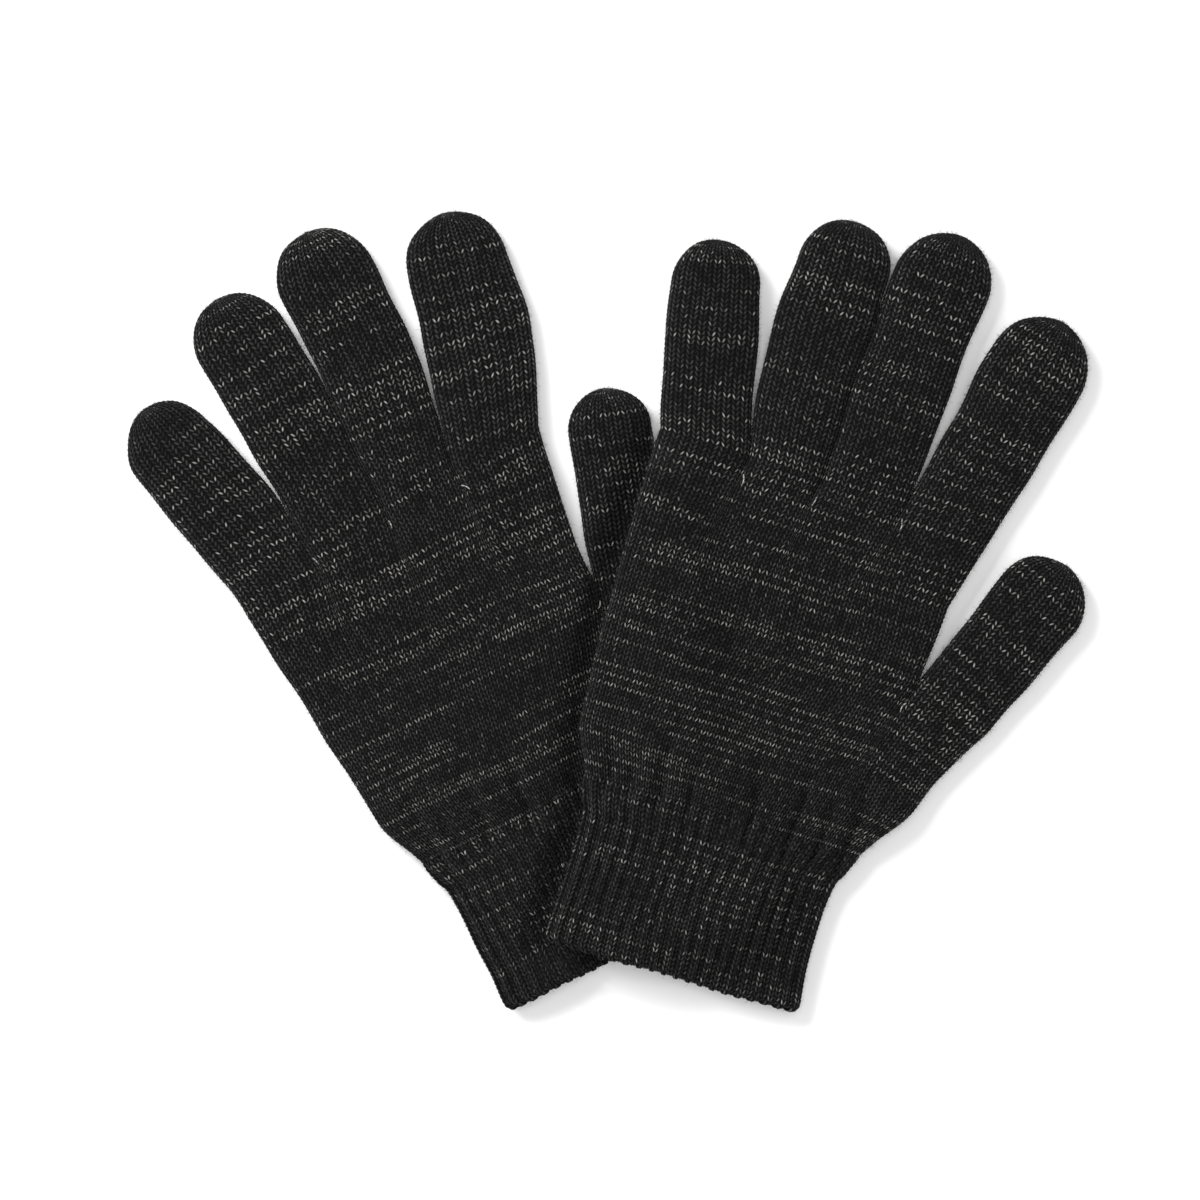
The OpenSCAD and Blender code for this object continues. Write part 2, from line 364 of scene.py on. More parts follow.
def grid_object(name, points, normals, stitch, closed, cap=None):
    """A mesh of a grid of points in row millimetres, with its stitch numbers."""
    rows, cols = points.shape[:2]
    across = cols if closed else cols - 1
    j, i = np.mgrid[0:rows - 1, 0:across]
    i2 = (i + 1) % cols
    quads = np.stack([j * cols + i, j * cols + i2, (j + 1) * cols + i2, (j + 1) * cols + i], -1)
    quads = quads.reshape(-1, 4)
    co = points.reshape(-1, 3)
    no = normals.reshape(-1, 3)
    st = stitch.reshape(-1, 3)
    loops = quads.reshape(-1)
    sizes = np.full(len(quads), 4)
    if cap is not None:
        centre = len(co)
        last = (rows - 1) * cols + np.arange(cols)
        fan = np.stack([last, np.roll(last, -1), np.full(cols, centre)], -1)
        co = np.vstack([co, cap])
        no = np.vstack([no, no[-cols:].mean(axis=0)])
        st = np.vstack([st, st[-1]])
        loops = np.concatenate([loops, fan.reshape(-1)])
        sizes = np.concatenate([sizes, np.full(cols, 3)])
    mesh = bpy.data.meshes.new(name)
    mesh.vertices.add(len(co))
    mesh.vertices.foreach_set("co", (co * MM).astype(np.float32).ravel())
    mesh.loops.add(len(loops))
    mesh.loops.foreach_set("vertex_index", loops.astype(np.int32))
    mesh.polygons.add(len(sizes))
    starts = np.concatenate([[0], np.cumsum(sizes)[:-1]])
    mesh.polygons.foreach_set("loop_start", starts.astype(np.int32))
    mesh.polygons.foreach_set("use_smooth", np.ones(len(sizes), bool))
    mesh.update(calc_edges=True)
    mesh.validate()
    attribute = mesh.attributes.new("stitch", "FLOAT_VECTOR", "POINT")
    attribute.data.foreach_set("vector", st.astype(np.float32).ravel())
    no = no / np.maximum(np.linalg.norm(no, axis=1, keepdims=True), 1e-9)
    mesh.normals_split_custom_set_from_vertices(no.tolist())
    piece = bpy.data.objects.new(name, mesh)
    bpy.context.scene.collection.objects.link(piece)
    return piece


def faces_object(name, points, faces):
    """A smooth mesh of points in row millimetres."""
    mesh = bpy.data.meshes.new(name)
    mesh.from_pydata((points * MM).tolist(), [], faces.tolist())
    mesh.polygons.foreach_set("use_smooth", np.ones(len(mesh.polygons), bool))
    mesh.update()
    piece = bpy.data.objects.new(name, mesh)
    bpy.context.scene.collection.objects.link(piece)
    return piece


def swell(glove, points):
    """Let the upper half of a tube rise and fall a little, and return how high up in it
    each point is, from 0 to 1."""
    upper = np.clip(points[..., 2] / glove.crown, 0.0, 1.0)
    points[..., 2] += SWELL * upper * wobble(points[..., 0], points[..., 1], glove.seed)
    return upper


def ring_points(glove, centres, across, top, bed):
    """Points of a tube: top and bed are the upper and lower halves of each row as
    (across, up), with the same number of points."""
    n = top[0][0].shape[0]
    rows = len(centres)
    points = np.zeros((rows, 2 * (n - 1), 3))
    for r in range(rows):
        x = np.concatenate([top[r][0], bed[r][0][::-1][1:-1]])
        z = np.concatenate([top[r][1], -bed[r][1][::-1][1:-1]])
        points[r, :, :2] = centres[r] + x[:, None] * across[r]
        points[r, :, 2] = z
    swell(glove, points)
    points[..., 2] += glove.fold
    return points


def finger_rows(glove, finger, wales):
    """Rows of a finger or thumb tube: centres, directions across, halves and courses, and
    then the point its cap ends in and the direction it leans in."""
    n = wales * PER_WALE
    tip = glove.mesh(finger + "_tip")[0]
    if finger == "thumb":
        root, axis = glove.joint("thumb_knuckle_bend")
        up = np.array([-axis[1], axis[0]])
        reach = (tip[:, :2] - root) @ up
        span = (tip[:, :2] - root) @ axis
        radius = (span.max() - span.min()) / 2.0
        middle = root + axis * (span.max() + span.min()) / 2.0 + up * (
            reach.max() - radius + THUMB_REACH[glove.side])
        base = glove.mesh("thumb_knuckle")[0]
        half = np.abs((base[:, :2] - root) @ axis).max()
        ends = (root - axis * half, root + axis * half)
        lean = up
    else:
        end = tip[:, 1].max()
        radius = 13.5
        for _ in range(3):
            left, right = glove.cut(finger + "_tip", end - radius)
            radius = (right - left) / 2.0
        middle = np.array([(left + right) / 2.0, end - radius])
        left, right = glove.crotches[finger]
        ends = (np.array([left, glove.knuckles]), np.array([right, glove.knuckles]))
        lean = middle - (ends[0] + ends[1]) / 2.0
        lean /= np.linalg.norm(lean)
    side = np.array([lean[1], -lean[0]])
    low = (middle - side * radius, middle + side * radius)
    length = np.linalg.norm(middle - (ends[0] + ends[1]) / 2.0)
    pitch = COURSE / PER_COURSE
    straight = max(2, int(round(length / pitch)))
    round_rows = int(round(radius * TIP_ARC / pitch))
    centres, across, top, bed, courses = [], [], [], [], []
    for k in range(straight + round_rows + 1):
        if k <= straight:
            t = k / straight
            a, b = mix(ends[0], low[0], t), mix(ends[1], low[1], t)
            direction = (b - a) / np.linalg.norm(b - a)
            bow = BOW[glove.side].get(finger, 0.0) * math.sin(math.pi * t) ** 1.2
            a, b = a + direction * min(bow, 0.0), b + direction * max(bow, 0.0)
            width = np.linalg.norm(b - a)
            centre = (a + b) / 2.0
            high = 1.0
        else:
            angle = TIP_ARC * (k - straight) / round_rows
            centre = middle + lean * radius * math.sin(angle)
            width = 2.0 * radius * math.cos(angle)
            direction = side
            left_over = radius * (1.0 - math.sin(angle))
            high = math.sqrt(max(0.0, 1.0 - (1.0 - min(1.0, left_over / TIP_RIM)) ** 2))
        blend = smooth((k * pitch) / 9.0)
        crown = glove.crown * high * mix(1.0, 0.97, blend)
        centres.append(centre)
        across.append(direction)
        top.append(half_ring(width, max(0.05, crown), n, FINGER_CROWN))
        bed.append(half_ring(width, max(0.05, glove.bed * high), n, FINGER_BED))
        courses.append(k / PER_COURSE)
    cap = middle + lean * radius
    return np.array(centres), np.array(across), top, bed, np.array(courses), cap, lean


def finish_tube(glove, points, stitch):
    """Lift, stitch relief and normals of a tube, in row millimetres."""
    warp(glove, points)
    lifted = glove.to_row(points)
    lifted[..., 2] += glove.raise_by(lifted, points)
    normals = grid_normals(lifted)
    legs = stitch_relief(stitch[..., 0], stitch[..., 1])
    lifted = lifted + normals * (legs - LEG_SUNK)[..., None] * RELIEF
    return lifted, grid_normals(lifted)


def stitch_grid(rows, cols, courses, seed):
    """Wale, course and wales in a round of every point of a tube."""
    stitch = np.zeros((rows, cols, 3))
    stitch[..., 0] = 1000.0 * seed + np.arange(cols)[None, :] / PER_WALE
    stitch[..., 1] = np.asarray(courses)[:, None]
    stitch[..., 2] = cols / PER_WALE
    return stitch


def ride_blend(piece, glove, a, b, start, end):
    """Bake a piece's placement into its mesh; it is not bent, and the places worked out from start and end are not
    used. The two bodies a and b are not used.
    """
    points = glove.to_row(np.array([[*start, glove.fold], [*end, glove.fold]])) * MM
    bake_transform(piece)


def make_finger(glove, finger, wales, material):
    """A finger's or thumb's tube, as a lower and an upper piece that meet at its middle
    joint."""
    centres, across, top, bed, courses, cap, lean = finger_rows(glove, finger, wales)
    points = ring_points(glove, centres, across, top, bed)
    first = (glove.knuckles if finger != "thumb" else glove.thumb_line) / COURSE
    number = 1.0 + (FINGERS + ("thumb",)).index(finger)
    stitch = stitch_grid(len(courses), points.shape[1], first + courses, glove.seed + number)
    solid, normals = finish_tube(glove, points, stitch)
    knee, _ = glove.joint(finger + "_middle_bend")
    root, _ = glove.joint(finger + "_knuckle_bend")
    reach = (centres - root) @ lean
    knee_reach = (knee - root) @ lean
    split = int(np.argmax(reach > knee_reach - 5.0))
    side = glove.side
    cap_point = glove.to_row(np.array([cap[0], cap[1], glove.fold]))
    cap_point[2] = solid[-1, :, 2].mean()
    lower = grid_object(f"{side}_{finger}_lower", solid[:split + 1], normals[:split + 1],
                        stitch[:split + 1], True)
    upper = grid_object(f"{side}_{finger}_upper", solid[split:], normals[split:],
                        stitch[split:], True, cap=cap_point)
    for piece in (lower, upper):
        piece.data.materials.append(material)
    palm, base, tip = f"{side}_palm", f"{side}_{finger}_base", f"{side}_{finger}_tip"
    square = np.array([0.0, 1.0]) if finger != "thumb" else lean
    before, after = MIDDLE_FOLD
    for piece, rows, bodies, start, end in (
        (lower, slice(0, split), (palm, base), root, root + square * ROOT_FOLD),
        (upper, slice(split, None), (base, tip), knee - square * before, knee + square * after),
    ):
        hairs = make_fuzz(f"{piece.name}_fuzz", solid[rows], normals[rows], glove.fibre)
        for part in (piece, hairs):
            ride_blend(part, glove, *bodies, start, end)
    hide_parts(f"{side}_{finger}_knuckle", f"{side}_{finger}_base")
    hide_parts(f"{side}_{finger}_joint", f"{side}_{finger}_tip")


def make_fuzz(name, solid, normals, material):
    """Loose fibre ends standing out of the knit: thin closed spikes with three sides."""
    rng = np.random.default_rng(int(1000.0 * abs(solid[0, 0, 0]) + len(solid)))
    rows, cols = solid.shape[:2]
    count = int(rows * cols * FUZZ_SHARE)
    j, i = rng.integers(0, rows, count), rng.integers(0, cols, count)
    root, out = solid[j, i], normals[j, i]
    side = rng.normal(size=(count, 3))
    side -= out * np.sum(side * out, axis=1, keepdims=True)
    side /= np.linalg.norm(side, axis=1, keepdims=True)
    length = rng.uniform(0.4, 1.5, (count, 1))
    slant = rng.uniform(0.1, 0.9, (count, 1))
    curl = rng.uniform(-0.6, 0.6, (count, 1))
    third = np.cross(out, side)
    rings = []
    for t, thick in ((-0.1, 0.035), (0.35, 0.032), (0.7, 0.024), (1.0, 0.010)):
        spine = root + length * (out * t + side * slant * t + third * curl * t * t)
        for turn in (0.0, 2.0 * math.pi / 3.0, 4.0 * math.pi / 3.0):
            rings.append(spine + thick * (side * math.cos(turn) + third * math.sin(turn)))
    points = np.stack(rings, 1).reshape(-1, 3)
    faces = [(0, 2, 1), (9, 10, 11)]
    for k in (0, 3, 6):
        for q in range(3):
            a, b = k + q, k + (q + 1) % 3
            faces += [(a, b, b + 3), (a, b + 3, a + 3)]
    faces = (np.array(faces)[None] + 12 * np.arange(count)[:, None, None]).reshape(-1, 3)
    piece = faces_object(name, points, faces)
    piece.data.materials.append(material)
    return piece


def make_tails(glove, material):
    """Ends of yarn left where the fingers and the thumb were joined on."""
    rng = np.random.default_rng(int(glove.seed) + 70)
    spots = [(glove.crotches[f][1], glove.knuckles - 5.5) for f in FINGERS[:3]]
    spots.append((glove.crotch[0] - 1.0, glove.crotch[1] - 5.5))
    steps, sides = 12, 6
    turns = np.linspace(0.0, 2.0 * math.pi, sides + 1)[:-1]
    points, faces = [], []
    for k, (x, y) in enumerate(spots):
        heading = rng.uniform(-0.7, 0.7) + math.pi * (1.4 if k % 2 else 1.7)
        curl, length = rng.uniform(-1.6, 1.6), rng.uniform(2.4, 4.0)
        t = np.linspace(0.0, 1.0, steps + 1)
        angle = heading + curl * t
        step = length / steps
        path = np.stack([x + np.cumsum(np.cos(angle)) * step, y + np.cumsum(np.sin(angle)) * step,
                         glove.flat - 1.9 + 1.2 * np.sin(math.pi * t)], -1)
        lifted = glove.to_row(path)
        lifted[:, 2] += glove.raise_by(lifted, path)
        ahead = np.gradient(lifted, axis=0)
        ahead /= np.linalg.norm(ahead, axis=1, keepdims=True)
        flat = np.cross(ahead, (0.0, 0.0, 1.0))
        flat /= np.linalg.norm(flat, axis=1, keepdims=True)
        up = np.cross(flat, ahead)
        thick = 0.2 * (1.0 - 0.6 * t ** 4)[:, None, None]
        ring = (flat[:, None] * np.cos(turns)[None, :, None]
                + up[:, None] * np.sin(turns)[None, :, None])
        points.append((lifted[:, None] + thick * ring).reshape(-1, 3))
        base = sides * (steps + 1) * k
        last = base + sides * steps
        for r in range(steps):
            for q in range(sides):
                a, b = base + sides * r + q, base + sides * r + (q + 1) % sides
                faces += [[a, b, b + sides], [a, b + sides, a + sides]]
        for q in range(1, sides - 1):
            faces += [[base, base + q + 1, base + q], [last, last + q, last + q + 1]]
    piece = faces_object(f"{glove.side}_yarn_tails", np.concatenate(points), np.array(faces))
    piece.data.materials.append(material)
    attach(piece, f"{glove.side}_palm")


# ---------------------------------------------------------------- palms

def palm_slab(glove, width, n):
    """Upper and lower half of a palm's section, each as (across, up)."""
    return (half_ring(width, glove.crown, n, PALM_CROWN),
            half_ring(width, glove.bed, n, PALM_CROWN))


def make_finger_trunk(glove, wales, material):
    """The palm from the thumb line to the knuckles, where it parts into four humps."""
    n = sum(wales) * PER_WALE
    rows = int(round((glove.knuckles - glove.thumb_line) / COURSE * PER_COURSE)) + 1
    heights = np.linspace(glove.thumb_line, glove.knuckles, rows)
    left, right = glove.edges("finger_trunk", heights)
    left[-1], right[-1] = glove.crotches["little"][0], glove.crotches["index"][1]
    low, high = left[-1], right[-1]
    humps = []
    for height, power in ((glove.crown, FINGER_CROWN), (glove.bed, FINGER_BED)):
        x, z = [np.zeros(1)], [np.zeros(1)]
        for k, finger in enumerate(FINGERS):
            a, b = glove.crotches[finger]
            hump = half_ring(b - a, height, wales[k] * PER_WALE, power)
            x.append((hump[0][1:] + (a + b) / 2.0 - low) / (high - low))
            z.append(hump[1][1:])
        humps.append((np.concatenate(x) - 0.5, np.concatenate(z)))
    centres, across, top, bed = [], [], [], []
    for r, h in enumerate(heights):
        w = float(smooth((h - glove.knuckles + 17.0) / 17.0)) ** 1.6
        spread = float(smooth((h - glove.thumb_line) / (glove.knuckles - glove.thumb_line)))
        wide = right[r] - left[r]
        halves = []
        for slab, hump in zip(palm_slab(glove, wide, n), humps):
            x = mix(slab[0], hump[0] * wide, spread)
            halves.append((x, mix(np.interp(x, *slab), hump[1], w)))
        centres.append(((left[r] + right[r]) / 2.0, h))
        across.append((1.0, 0.0))
        top.append(halves[0])
        bed.append(halves[1])
    points = ring_points(glove, np.array(centres), np.array(across), top, bed)
    stitch = stitch_grid(rows, points.shape[1], heights / COURSE, glove.seed)
    solid, normals = finish_tube(glove, points, stitch)
    place_sheets(glove, "upper_palm", solid, normals, stitch, n, material, "plain_knit",
                 "finger_trunk")


def place_sheets(glove, name, solid, normals, stitch, n, material, slot, *nodes,
                 blend=None, hairy=0):
    """Make a wide tube as two sheets that meet along its folds, with loose fibres on the
    rows from the one numbered hairy up."""
    wrap = list(range(n, solid.shape[1])) + [0]
    for part, cols in (("face", list(range(0, n + 1))), ("back", wrap)):
        numbers = stitch[:, cols].copy()
        numbers[:, -1, 0] = numbers[:, -2, 0] + 1.0 / PER_WALE
        piece = grid_object(f"{glove.side}_{name}_{part}", solid[:, cols], normals[:, cols],
                            numbers, False)
        piece.data.materials.append(material)
        hairs = make_fuzz(f"{glove.side}_{name}_{part}_fuzz", solid[hairy:, cols],
                          normals[hairy:, cols], glove.fibre)
        for item in (piece, hairs):
            if blend:
                ride_blend(item, glove, f"{glove.side}_palm", f"{glove.side}_wrist", *blend)
            else:
                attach(item, f"{glove.side}_palm")
        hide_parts(*[f"{glove.side}_{node}" for node in nodes])


def puckers(glove, x, y):
    """Gathers that rise from the cuff and fade out over the palm, and the palm's slight
    swell above them, in millimetres."""
    rng = np.random.default_rng(int(glove.seed) + 40)
    up = y - glove.cuff_top
    total = 1.1 * np.exp(-(((up - 11.0) / 9.0) ** 2)) - 0.5 * np.exp(-((up / 4.0) ** 2))
    for at in np.arange(-36.0, 38.0, 9.0) + rng.uniform(-2.5, 2.5, 9):
        lean, reach = rng.uniform(-0.06, 0.12), rng.uniform(16.0, 34.0)
        wide, deep = rng.uniform(1.2, 2.0), rng.uniform(2.6, 5.6)
        spread = wide * (1.0 + 0.05 * np.clip(up, 0.0, 40.0))
        off = (x - at - lean * up) / spread
        fade = smooth((up + 9.0) / 11.0) * smooth(1.0 - up / reach)
        total = total - deep * np.exp(-np.abs(off) ** 1.5) * fade
    return total


def gather(glove, points, upper):
    """Press the gathers into the upper half of a tube."""
    depth = puckers(glove, points[..., 0], points[..., 1])
    points[..., 2] += smooth(upper * GATHER_RISE) * depth


def ease(glove, points):
    """Turn the corners of the outline at the wrist into soft bends."""
    y = np.arange(0.0, glove.thumb_line - 14.0, 0.5)
    left, right = glove.wrist_outline(y)
    reach = np.arange(-30, 31)
    weights = np.exp(-((reach * 0.5 / 6.5) ** 2))
    weights /= weights.sum()
    soft = [np.convolve(np.pad(e, 30, "edge"), weights, "valid") - e for e in (left, right)]
    swell = 1.9 * np.exp(-(((y - glove.cuff_top - 13.0) / 8.0) ** 2))
    soft = (soft[0] - swell, soft[1] + swell)
    still = smooth((y - 2.0) / 12.0) * smooth((y[-1] - y) / 12.0)
    at = points[..., 1]
    low, high = np.interp(at, y, left), np.interp(at, y, right)
    share = np.clip((points[..., 0] - low) / (high - low), 0.0, 1.0)
    drift = mix(np.interp(at, y, soft[0] * still), np.interp(at, y, soft[1] * still), share)
    points[..., 0] += drift


def make_thumb_trunk(glove, wales, thumb_wales, material):
    """The palm from the wrist to the thumb line, opening into the palm and the thumb."""
    n_palm, n_thumb = sum(wales) * PER_WALE, thumb_wales * PER_WALE
    n = n_palm + n_thumb
    rows = int(round((glove.thumb_line - glove.cuff_top) / COURSE * PER_COURSE)) + 1
    left0, right0 = glove.cut("thumb_trunk", glove.cuff_top + EDGE_STEP)
    left1, crotch = glove.cut("finger_trunk", glove.thumb_line + EDGE_STEP)
    root, _ = glove.joint("thumb_knuckle_bend")
    start = np.array([crotch, glove.thumb_line])
    half = np.linalg.norm(root - start)
    axis = (root - start) / half
    palm_top, palm_bed = palm_slab(glove, crotch - left1, n_palm)
    thumb_top = half_ring(2.0 * half, glove.crown, n_thumb, FINGER_CROWN)
    thumb_bed = half_ring(2.0 * half, glove.bed, n_thumb, FINGER_BED)
    low_top, low_bed = palm_slab(glove, right0 - left0, n)
    ends = []
    for palm, thumb in ((palm_top, thumb_top), (palm_bed, thumb_bed)):
        x = np.concatenate([palm[0] + (left1 + crotch) / 2.0,
                            root[0] + axis[0] * thumb[0][1:]])
        y = np.concatenate([np.full(n_palm + 1, glove.thumb_line),
                            root[1] + axis[1] * thumb[0][1:]])
        ends.append((x, y, np.concatenate([palm[1], thumb[1][1:]])))
    share = np.linspace(0.0, 1.0, n + 1)
    points = np.zeros((rows, 2 * n, 3))
    for r, v in enumerate(np.linspace(0.0, 1.0, rows)):
        w = float(smooth((v - 0.66) / 0.34)) ** 1.6
        edge = glove.cut("thumb_trunk", mix(glove.cuff_top, glove.thumb_line, v) - EDGE_INSET
                         if r else glove.cuff_top + EDGE_STEP)[0]
        for half_index, low in ((0, low_top), (1, low_bed)):
            ex, ey, ez = ends[half_index]
            x = mix(low[0] + (left0 + right0) / 2.0, ex, v)
            y = mix(glove.cuff_top, ey, v)
            x = x + (edge - x[0]) * (1.0 - share)
            line = np.concatenate([[0.0], np.cumsum(np.hypot(np.diff(x), np.diff(y)))])
            slab = palm_slab(glove, line[-1], n)[half_index]
            z = np.interp(line - line[-1] / 2.0, slab[0], slab[1])
            z = mix(z, ez, w)
            if half_index == 0:
                points[r, :n + 1] = np.stack([x, y, z], -1)
            else:
                points[r, n + 1:] = np.stack([x, y, -z], -1)[::-1][1:-1]
    gather(glove, points, swell(glove, points))
    points[..., 2] += glove.fold
    ease(glove, points)
    courses = glove.thumb_line / COURSE - (rows - 1 - np.arange(rows)) / PER_COURSE
    stitch = stitch_grid(rows, 2 * n, courses, glove.seed)
    solid, normals = finish_tube(glove, points, stitch)
    place_sheets(glove, "lower_palm", solid, normals, stitch, n, material, "plain_knit",
                 "thumb_trunk")


# ---------------------------------------------------------------- cuffs

def cuff_ring(glove, height, inset, n):
    """Centre, upper half and lower half of the cuff's tube at a height."""
    left, right = glove.cut("cuff", glove.cuff_end - 1.0)
    top_left, top_right = glove.cut("thumb_trunk", glove.cuff_top + EDGE_STEP)
    rise = (height - glove.cuff_end + 3.0) / (glove.cuff_top - glove.cuff_end + 3.0)
    flare = float(smooth(rise))
    waist = 1.4 * math.sin(math.pi * min(1.0, max(0.0, height / glove.cuff_end)))
    a, b = mix(left + 0.2 * waist, top_left, flare), mix(right - waist, top_right, flare)
    power = mix(3.4, PALM_CROWN, flare)
    corner = 1.0 - min(1.0, max(0.0, height) / HEM_CORNER)
    corner = HEM_CORNER * (1.0 - math.sqrt(1.0 - corner * corner))
    wide = b - a - 2.0 * (inset + corner)
    return ((a + b) / 2.0, half_ring(wide, glove.crown - inset, n, power),
            half_ring(wide, glove.bed - inset, n, power))


def cuff_points(glove, heights, inset, n):
    """Points of the cuff's tube, gathered where it meets the palm."""
    rings = [cuff_ring(glove, h, d, n) for h, d in zip(heights, inset)]
    centres = np.array([(r[0], h) for r, h in zip(rings, heights)])
    across = np.array([(1.0, 0.0)] * len(rings))
    points = ring_points(glove, centres, across, [r[1] for r in rings],
                         [r[2] for r in rings])
    upper = np.clip((points[..., 2] - glove.fold) / glove.crown, 0.0, 1.0)
    gather(glove, points, upper)
    ease(glove, points)
    return points


def make_cuff(glove, material):
    """The ribbed cuff, rolled over its edge and on up the inside."""
    left, right = glove.cut("cuff", glove.cuff_end - 1.0)
    wales = 2 * int(round((right - left) / RIB_WALE / 2.0))
    n = wales * PER_WALE
    pitch = COURSE / PER_COURSE
    outside = np.arange(glove.cuff_top + CUFF_LAP, HEM_RISE, -pitch)
    roll = np.linspace(0.0, math.pi, 7)[1:-1]
    inside = np.arange(HEM_RISE, INSIDE_RISE, pitch * 2.0)
    heights = np.concatenate([outside, HEM_RISE - WALL / 2.0 * np.sin(roll), inside])
    tuck = 0.35 * smooth((outside - glove.cuff_top) / 1.0)
    inset = np.concatenate([tuck, WALL / 2.0 * (1.0 - np.cos(roll)),
                            np.full(len(inside), WALL)])
    points = cuff_points(glove, heights, inset, n)
    travel = np.concatenate([[0.0], np.cumsum(np.hypot(np.diff(heights), np.diff(inset)))])
    stitch = stitch_grid(len(heights), 2 * n, 200.0 - travel / COURSE, glove.seed + 7.0)
    ridge = rib_relief(stitch[..., 0])
    # each rib ends in its own small scallop
    hem = smooth(1.0 - heights / 5.0)
    points[..., 1] -= hem[:, None] * 0.3 * ridge
    warp(glove, points)
    lifted = glove.to_row(points)
    lifted[..., 2] += glove.raise_by(lifted, points)
    normals = -grid_normals(lifted)
    fade = 1.0 - 0.7 * smooth((heights - glove.cuff_top + 6.0) / 6.0) - 0.45 * hem
    outer = np.where(inset < WALL / 2.0, 1.0, -1.0)
    legs = stitch_relief(stitch[..., 0], stitch[..., 1])
    height = (RIB_DEPTH * ridge - 0.25) * (fade * outer)[:, None] + RELIEF * (legs - LEG_SUNK)
    solid = (lifted + normals * height[..., None])[::-1]
    normals = grid_normals(solid)
    start = np.array([0.0, glove.cuff_top])
    end = np.array([0.0, glove.cuff_end - CUFF_FOLD])
    place_sheets(glove, "cuff", solid, normals, stitch[::-1], n, material, "rib_knit",
                 "cuff", "cuff_hem", "wrist_gather", blend=(start, end), hairy=len(inside))


def make_elastic(glove, material):
    """Threads of wound elastic that run round the inside of the cuff."""
    low = glove.mesh("cuff_elastic")[0][:, 1]
    starts = np.unique(np.round(low, 1))[::2]
    turns = np.linspace(0.0, 2.0 * math.pi, 9)[:-1]
    tall, thick = ELASTIC_HALF
    strands = []
    for start in starts:
        line = cuff_points(glove, [start + tall], [WALL + ELASTIC_INSET], 120)[0]
        lifted = glove.to_row(line)
        lifted[..., 2] += glove.raise_by(lifted, line)
        forward = np.roll(lifted, -1, axis=0) - np.roll(lifted, 1, axis=0)
        forward /= np.linalg.norm(forward, axis=1, keepdims=True)
        up = np.append(glove.along, 0.0)
        out = np.cross(forward, up)
        strands.append(lifted[None] + tall * np.cos(turns)[:, None, None] * up
                       + thick * np.sin(turns)[:, None, None] * out[None])
    quads, points = [], []
    for k, strand in enumerate(strands):
        rows, cols = strand.shape[:2]
        j, i = np.mgrid[0:rows, 0:cols]
        j2, i2 = (j + 1) % rows, (i + 1) % cols
        quad = np.stack([j * cols + i, j * cols + i2, j2 * cols + i2, j2 * cols + i], -1)
        quads.append(quad.reshape(-1, 4) + k * rows * cols)
        points.append(strand.reshape(-1, 3))
    piece = faces_object(f"{glove.side}_elastic", np.concatenate(points),
                         np.concatenate(quads))
    piece.data.materials.append(material)
    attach(piece, f"{glove.side}_wrist")
    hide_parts(f"{glove.side}_cuff_elastic")


# ---------------------------------------------------------------- the pair

def covered(glove, row):
    """Which points of the table this glove's palm, cuff and thumb lie over."""
    local = glove.to_local(np.concatenate([row, np.zeros(row.shape[:-1] + (1,))], -1))
    x, y = local[..., 0], local[..., 1]
    inside = np.zeros(x.shape, bool)
    for node in ("cuff", "cuff_hem", "wrist_gather", "thumb_trunk", "finger_trunk"):
        points = glove.mesh(node)[0]
        heights = np.linspace(points[:, 1].min(), points[:, 1].max(), 40)
        left, right = glove.edges(node, heights)
        level = (y >= heights[0]) & (y <= heights[-1])
        inside |= (level & (x > np.interp(y, heights, left))
                   & (x < np.interp(y, heights, right)))
    root, axis = glove.joint("thumb_knuckle_bend")
    up = np.array([-axis[1], axis[0]])
    tip = glove.mesh("thumb_tip")[0][:, :2] - root
    half = np.abs(tip @ axis).max()
    reach = (tip @ up).max() - half
    off = local[..., :2] - root
    u, v = off @ axis, off @ up
    inside |= (v > -3.0) & (v < reach) & (np.abs(u) < half)
    inside |= np.hypot(u, v - reach) < half
    return inside


def table_field(other, shape):
    """A height over the table that depends on the distance from the other glove's outline,
    as a function of place."""
    low = np.array(CAD_BOX[0])[:2] / MM - 30.0
    high = np.array(CAD_BOX[1])[:2] / MM + 30.0
    axes = [np.arange(low[k], high[k], 1.0) for k in range(2)]
    grid = np.stack(np.meshgrid(*axes, indexing="ij"), -1)
    solid = covered(other, grid)
    edge = solid & ~(np.roll(solid, 1, 0) & np.roll(solid, -1, 0)
                     & np.roll(solid, 1, 1) & np.roll(solid, -1, 1))
    far = np.full(solid.shape, 1e9)
    for spot in grid[edge]:
        far = np.minimum(far, np.hypot(grid[..., 0] - spot[0], grid[..., 1] - spot[1]))
    far[solid] = 0.0
    height = shape(far)
    for _ in range(10):
        height[1:-1, 1:-1] = (height[1:-1, 1:-1] + height[2:, 1:-1] + height[:-2, 1:-1]
                              + height[1:-1, 2:] + height[1:-1, :-2]) / 5.0

    def sample(row):
        x = np.clip(row[..., 0] - low[0], 0.0, len(axes[0]) - 1.001)
        y = np.clip(row[..., 1] - low[1], 0.0, len(axes[1]) - 1.001)
        i, j = x.astype(int), y.astype(int)
        fx, fy = x - i, y - j
        return (height[i, j] * (1 - fx) * (1 - fy) + height[i + 1, j] * fx * (1 - fy)
                + height[i, j + 1] * (1 - fx) * fy + height[i + 1, j + 1] * fx * fy)

    return sample


